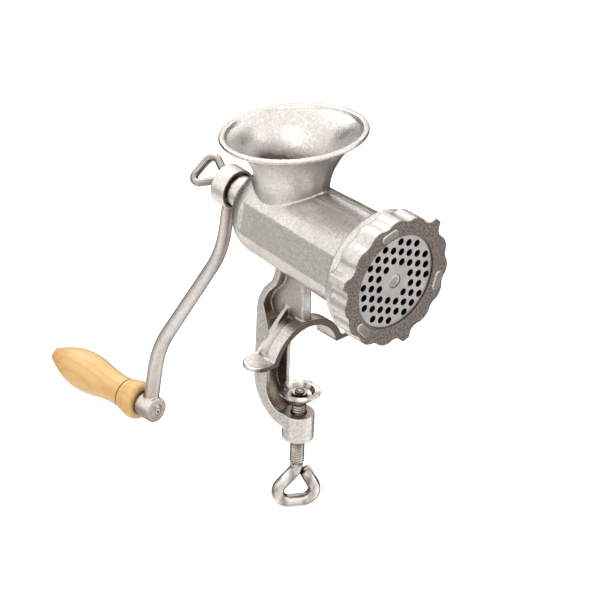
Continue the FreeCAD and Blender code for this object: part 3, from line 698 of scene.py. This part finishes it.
class GRINDER_OT_handle(bpy.types.Operator):
    """Turned wooden grip on its riveted spindle"""
    bl_idname = "grinder.handle"
    bl_label = "Handle"

    def execute(self, context):
        values = context.scene.grinder_handle
        low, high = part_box("handle_grip")
        hinge = next(joint for joint in frame["joints"] if joint["name"] == "handle_spin")
        along = Vector(hinge["axis"])
        wood = varnished_wood("pale_wood", tuple(values.wood), tuple(values.late_wood), values.varnish,
                              along, (low + high) / 2.0)
        paint("handle_grip", wood)
        smooth(frame["nodes"]["handle_grip"])
        near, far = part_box("handle_seat_washer")
        metal = plated_steel("rivet_steel", tuple(values.metal), rough=0.3, riveted=(near + far) / 2.0)
        for node in ("handle_spindle", "handle_seat_washer", "handle_end_washer"):
            paint(node, metal)
        return {"FINISHED"}


class GRINDER_OT_screws(bpy.types.Operator):
    """Clamp screw, crank screw and clamp cup"""
    bl_idname = "grinder.screws"
    bl_label = "Screws and cup"

    def execute(self, context):
        values = context.scene.grinder_screws
        steel = plated_steel("plated_steel", tuple(values.zinc), rough=0.12)
        clamp = solid_copy("clamp_screw", "threaded_clamp")
        cut_thread(clamp, Vector((0.0, 0.0, THREAD_FOOT)), UP, THREAD_REACH, values.clamp_radius,
                   values.thread_depth, values.clamp_pitch)
        finish_piece(smooth(clamp, 40.0), "clamp_bolt", "bright_steel", steel, "clamp_screw")
        # The crank screw takes a darker copy of the plating: painted shade
        toned_metal = plated_steel("shaded_steel", toned(values.zinc, EYE_SHADE), rough=0.16)
        for node, metal in (("crank_screw", toned_metal), ("clamp_cup", steel)):
            paint(node, metal)
            smooth(frame["nodes"][node])
        return {"FINISHED"}


# Stage

FLOOR_WIDTH = 16.0
SENSOR_MILLIMETRES = 36.0
FARTHEST_SEEN = 50.0
STUDIO_BASE = (1.50, 1.475, 1.44)

# Parts of the studio that differ from its base: direction as seen from the grinder, the cosines
# between which the part fades in, and its colour
STUDIO_SIDES = [
    ((-0.50, -0.65, -0.57), 0.30, 0.92, (1.0, 0.97, 0.94)),
    ((0.62, 0.60, -0.51), -0.10, 0.46, (0.050, 0.033, 0.024)),
    ((0.593, -0.622, -0.51), 0.82, 0.97, (1.30, 1.27, 1.23)),
    ((-0.593, 0.622, -0.51), 0.78, 0.98, (0.53, 0.507, 0.485)),
    ((-0.1, 0.25, -0.96), 0.66, 0.90, (1.30, 1.275, 1.24)),
    ((0.50, 0.58, 0.64), 0.72, 0.96, (1.7, 1.68, 1.65)),
]

# Name, place, target, width and depth, and power in watts of each lamp
LAMPS = [
    ("key_lamp", (-1.3, -0.9, 1.5), (0.0, 0.0, 0.03), (1.6, 1.6), 7.0),
    ("fill_lamp", (1.2, -1.4, 0.9), (0.0, 0.0, 0.03), (1.2, 1.2), 3.0),
    ("rear_lamp", (0.3, 1.6, 1.3), (0.0, 0.0, 0.05), (1.2, 0.8), 8.0),
]


def area_lamp(name, place, target, size, power):
    """A soft rectangular lamp that points at target."""
    data = bpy.data.lights.new(name, "AREA")
    data.shape = "RECTANGLE"
    data.size, data.size_y = size
    data.energy = power
    lamp = bpy.data.objects.new(name, data)
    bpy.context.scene.collection.objects.link(lamp)
    lamp.location = place
    lamp.rotation_euler = (Vector(target) - Vector(place)).to_track_quat("-Z", "Y").to_euler()


def studio_world():
    """Soft light that is pale on most sides and dark brown low at the rear; white to the camera."""
    world = bpy.data.worlds.new("studio")
    bpy.context.scene.world = world
    world.use_nodes = True
    tree = world.node_tree
    tree.nodes.clear()
    link = tree.links.new
    coords = tree.nodes.new("ShaderNodeTexCoord")
    tones = tree.nodes.new("ShaderNodeRGB").outputs[0]
    tones.default_value = (*STUDIO_BASE, 1.0)
    for direction, low, high, shade in STUDIO_SIDES:
        dot = tree.nodes.new("ShaderNodeVectorMath")
        dot.operation = "DOT_PRODUCT"
        link(coords.outputs["Generated"], dot.inputs[0])
        dot.inputs[1].default_value = Vector(direction).normalized()
        span = tree.nodes.new("ShaderNodeMapRange")
        span.interpolation_type = "SMOOTHSTEP"
        span.inputs["From Min"].default_value = low
        span.inputs["From Max"].default_value = high
        link(dot.outputs["Value"], span.inputs["Value"])
        blend = tree.nodes.new("ShaderNodeMix")
        blend.data_type = "RGBA"
        link(span.outputs["Result"], blend.inputs[0])
        link(tones, blend.inputs[6])
        blend.inputs[7].default_value = (*shade, 1.0)
        tones = blend.outputs[2]
    light = tree.nodes.new("ShaderNodeBackground")
    link(tones, light.inputs["Color"])
    seen = tree.nodes.new("ShaderNodeBackground")
    seen.inputs["Color"].default_value = (1.0, 1.0, 1.0, 1.0)
    mix = tree.nodes.new("ShaderNodeMixShader")
    link(tree.nodes.new("ShaderNodeLightPath").outputs["Is Camera Ray"], mix.inputs[0])
    link(light.outputs[0], mix.inputs[1])
    link(seen.outputs[0], mix.inputs[2])
    link(mix.outputs[0], tree.nodes.new("ShaderNodeOutputWorld").inputs["Surface"])


def clear_to_reflections(finish):
    """The floor takes shadows for the camera; other rays pass it and meet the studio light."""
    out = finish.tree.nodes["Material Output"]
    path = finish.add("ShaderNodeLightPath")
    clear = finish.add("ShaderNodeBsdfTransparent")
    mix = finish.add("ShaderNodeMixShader")
    finish.link(path.outputs["Is Camera Ray"], mix.inputs[0])
    finish.link(clear.outputs[0], mix.inputs[1])
    finish.link(finish.shader.outputs[0], mix.inputs[2])
    finish.link(mix.outputs[0], out.inputs["Surface"])


def photo_camera(values):
    """A long lens from the plate end's left, held with a slight roll."""
    turn, lift, roll = values.azimuth, values.elevation, values.roll
    back = Vector((math.sin(turn) * math.cos(lift), -math.cos(turn) * math.cos(lift), math.sin(lift)))
    right = Vector((math.cos(turn), math.sin(turn), 0.0))
    up = right.cross(-back).normalized()
    right_rolled = right * math.cos(roll) + up * math.sin(roll)
    up_rolled = up * math.cos(roll) - right * math.sin(roll)
    data = bpy.data.cameras.new("photo_camera")
    data.lens = values.lens_mm
    data.sensor_width = SENSOR_MILLIMETRES
    data.clip_end = FARTHEST_SEEN
    camera = bpy.data.objects.new("photo_camera", data)
    bpy.context.scene.collection.objects.link(camera)
    place = back * values.distance - right_rolled * values.right_shift + up_rolled * values.down_shift
    facing = Matrix((right_rolled, up_rolled, back)).transposed().to_4x4()
    camera.matrix_world = Matrix.Translation(place) @ facing
    bpy.context.scene.camera = camera


class GRINDER_OT_stage(bpy.types.Operator):
    """Pale floor, soft lamps and the camera"""
    bl_idname = "grinder.stage"
    bl_label = "Stage"

    def execute(self, context):
        values = context.scene.grinder_stage
        deselect()
        bpy.ops.mesh.primitive_plane_add(size=FLOOR_WIDTH, location=(0.0, 0.0, values.floor_level))
        floor = named("studio_floor")
        finish = Finish("pale_floor")
        faint = finish.spread(finish.noise(*FLOOR_CLOUD), 0.3, 0.7)
        tone = tuple(values.floor_colour)
        finish.to(Base_Color=finish.blend(faint, toned(tone, 0.99), tone))
        finish.set(Roughness=0.9)
        clear_to_reflections(finish)
        floor.data.materials.append(finish.material)
        studio_world()
        for lamp in LAMPS:
            area_lamp(*lamp)
        photo_camera(values)
        context.scene.view_settings.view_transform = "Standard"
        return {"FINISHED"}


class VIEW3D_PT_grinder(bpy.types.Panel):
    """Sizes, colours and pieces of the grinder"""
    bl_idname = "VIEW3D_PT_grinder"
    bl_label = "Hand grinder"
    bl_space_type = "VIEW_3D"
    bl_region_type = "UI"
    bl_category = "Grinder"

    def draw(self, context):
        for operator, group in PIECES:
            box = self.layout.box()
            box.operator(operator)
            values = getattr(context.scene, group)
            for key in type(values).__annotations__:
                box.prop(values, key)


GROUPS = {
    "grinder_casting": CastingProps,
    "grinder_cutters": CutterProps,
    "grinder_handle": HandleProps,
    "grinder_screws": ScrewProps,
    "grinder_stage": StageProps,
}
PIECES = [
    ("grinder.casting", "grinder_casting"),
    ("grinder.ring", "grinder_casting"),
    ("grinder.crank", "grinder_casting"),
    ("grinder.cutters", "grinder_cutters"),
    ("grinder.handle", "grinder_handle"),
    ("grinder.screws", "grinder_screws"),
    ("grinder.stage", "grinder_stage"),
]
CLASSES = [
    *GROUPS.values(), GRINDER_OT_casting, GRINDER_OT_ring, GRINDER_OT_cutters, GRINDER_OT_crank,
    GRINDER_OT_handle, GRINDER_OT_screws, GRINDER_OT_stage, VIEW3D_PT_grinder,
]


def register():
    """Add the groups, operators and panel."""
    for item in CLASSES:
        bpy.utils.register_class(item)
    for name, group in GROUPS.items():
        setattr(bpy.types.Scene, name, PointerProperty(type=group))


def unregister():
    """Take the panel, operators and groups away again."""
    for name in GROUPS:
        delattr(bpy.types.Scene, name)
    for item in reversed(CLASSES):
        bpy.utils.unregister_class(item)


def main():
    """Build every piece."""
    register()
    bpy.ops.grinder.casting()
    bpy.ops.grinder.ring()
    bpy.ops.grinder.crank()
    bpy.ops.grinder.cutters()
    bpy.ops.grinder.handle()
    bpy.ops.grinder.screws()
    bpy.ops.grinder.stage()


if __name__ == "__main__":
    main()
